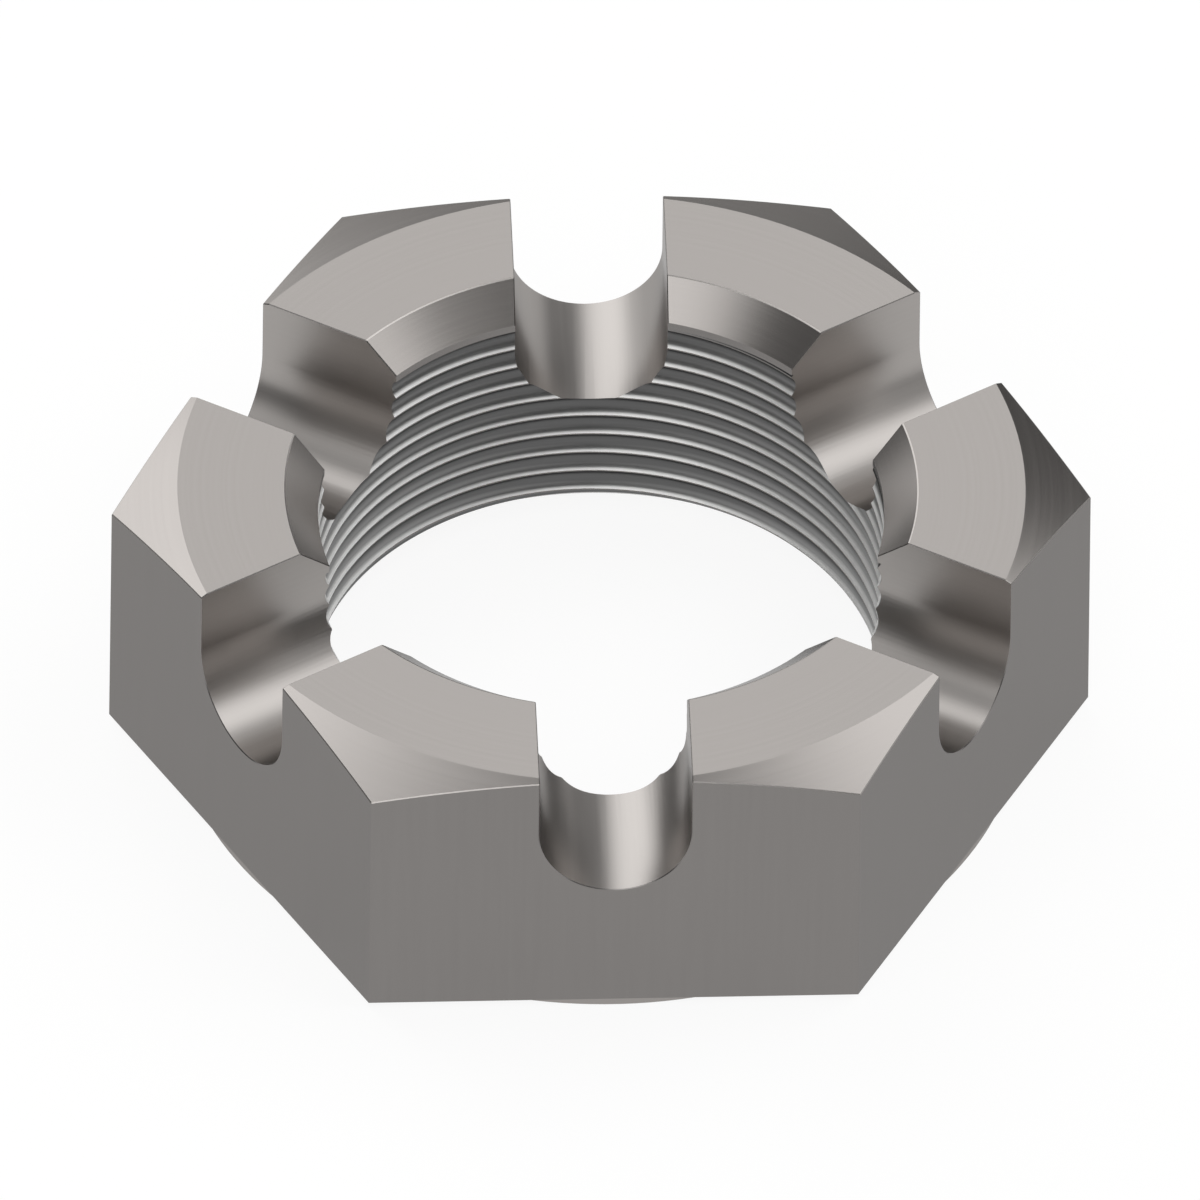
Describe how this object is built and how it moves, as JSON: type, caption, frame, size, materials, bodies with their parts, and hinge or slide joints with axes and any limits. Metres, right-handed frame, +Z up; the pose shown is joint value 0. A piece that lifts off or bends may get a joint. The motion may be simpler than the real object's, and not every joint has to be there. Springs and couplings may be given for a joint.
{
  "type": "castle nut",
  "caption": "Thin hexagon castle nut with full-radius slots through its flats for a split pin, a countersunk fine-threaded bore, a chamfered top and a washer face.",
  "frame": {"origin": "centre of the bearing face, on the bore's axis", "axes": "+Z up the bore from the bearing face to the slotted end, X through two corners, Y through the middles of two flats and their slots"},
  "size_m": [0.0578, 0.05, 0.0182],
  "materials": {
    "steel": "bright machined steel, finely brushed, with small broken edges"
  },
  "bodies": {
    "root": {"castle_nut": "steel"}
  },
  "joints": []
}
